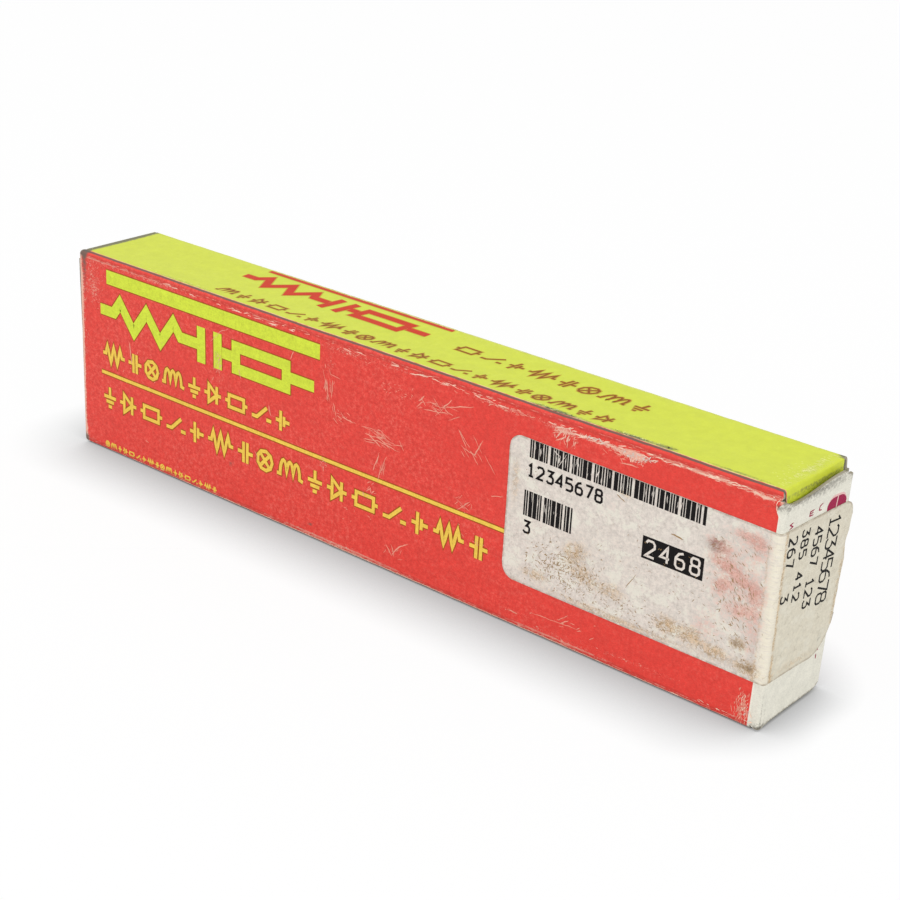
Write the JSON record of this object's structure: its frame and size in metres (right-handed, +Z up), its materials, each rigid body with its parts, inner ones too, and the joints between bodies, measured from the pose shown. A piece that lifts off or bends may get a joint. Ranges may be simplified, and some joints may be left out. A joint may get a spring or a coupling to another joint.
{
  "type": "tuck-end carton",
  "caption": "Worn reverse-tuck folding carton for a tubular power resistor, with a hinged closure at each end and a paper label wrapped round one fold.",
  "frame": {"origin": "centre of the narrow panel that the carton lies on, at the outer face", "axes": "+X along the carton towards the labelled end, +Y from the front panel to the back, +Z up"},
  "size_m": [0.1737, 0.0223, 0.0436],
  "materials": {
    "printed_board": "satin print on folding boxboard, scuffed",
    "bare_board": "matt unprinted board, handled",
    "label_paper": "matt label paper, stained"
  },
  "bodies": {
    "carton": {"carton_sleeve": "printed_board", "label_front": "label_paper"},
    "right_closure": {"right_closure_flap": "bare_board", "label_end": "label_paper"},
    "left_closure": {"left_closure_flap": "bare_board"}
  },
  "joints": [
    {"name": "right_closure_fold", "type": "hinge", "parent": "carton", "child": "right_closure", "pos_m": [0.0853, -0.0098, 0.0216], "axis": [0, 0, -1], "range_deg": [0, 135]},
    {"name": "left_closure_fold", "type": "hinge", "parent": "carton", "child": "left_closure", "pos_m": [-0.0853, 0.0098, 0.0216], "axis": [0, 0, -1], "range_deg": [0, 135]}
  ]
}
